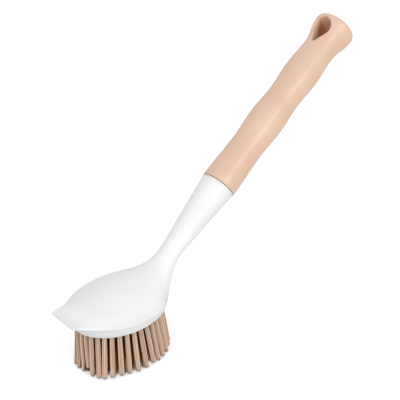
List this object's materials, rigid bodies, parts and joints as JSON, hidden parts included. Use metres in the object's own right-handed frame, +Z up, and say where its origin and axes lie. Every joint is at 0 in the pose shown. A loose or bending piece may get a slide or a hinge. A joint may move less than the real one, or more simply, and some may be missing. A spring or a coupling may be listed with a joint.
{
  "type": "dish brush",
  "caption": "Hand dish brush with a domed oval head, scraper lip, splayed bristle tufts, angled neck and a softly waved grip with a hanging hole.",
  "frame": {"origin": "centre of the bristle field, in the plane of the bristle tips", "axes": "+X from the scraper lip towards the handle, +Y to the left of the handle, +Z up from the bristle tips through the head"},
  "size_m": [0.2426, 0.056, 0.1735],
  "materials": {
    "white_plastic": "satin moulded",
    "peach_grip": "soft matte",
    "tan_bristle": "fine filaments",
    "anchor_steel": "plain wire"
  },
  "bodies": {
    "root": {"head_and_neck": "white_plastic", "tuft_block": "white_plastic", "grip": "peach_grip", "tufts_row_1": "tan_bristle", "tufts_row_2": "tan_bristle", "tufts_row_3": "tan_bristle", "tufts_row_4": "tan_bristle", "tufts_row_5": "tan_bristle", "tuft_anchors_row_1": "anchor_steel", "tuft_anchors_row_2": "anchor_steel", "tuft_anchors_row_3": "anchor_steel", "tuft_anchors_row_4": "anchor_steel", "tuft_anchors_row_5": "anchor_steel"}
  },
  "joints": []
}
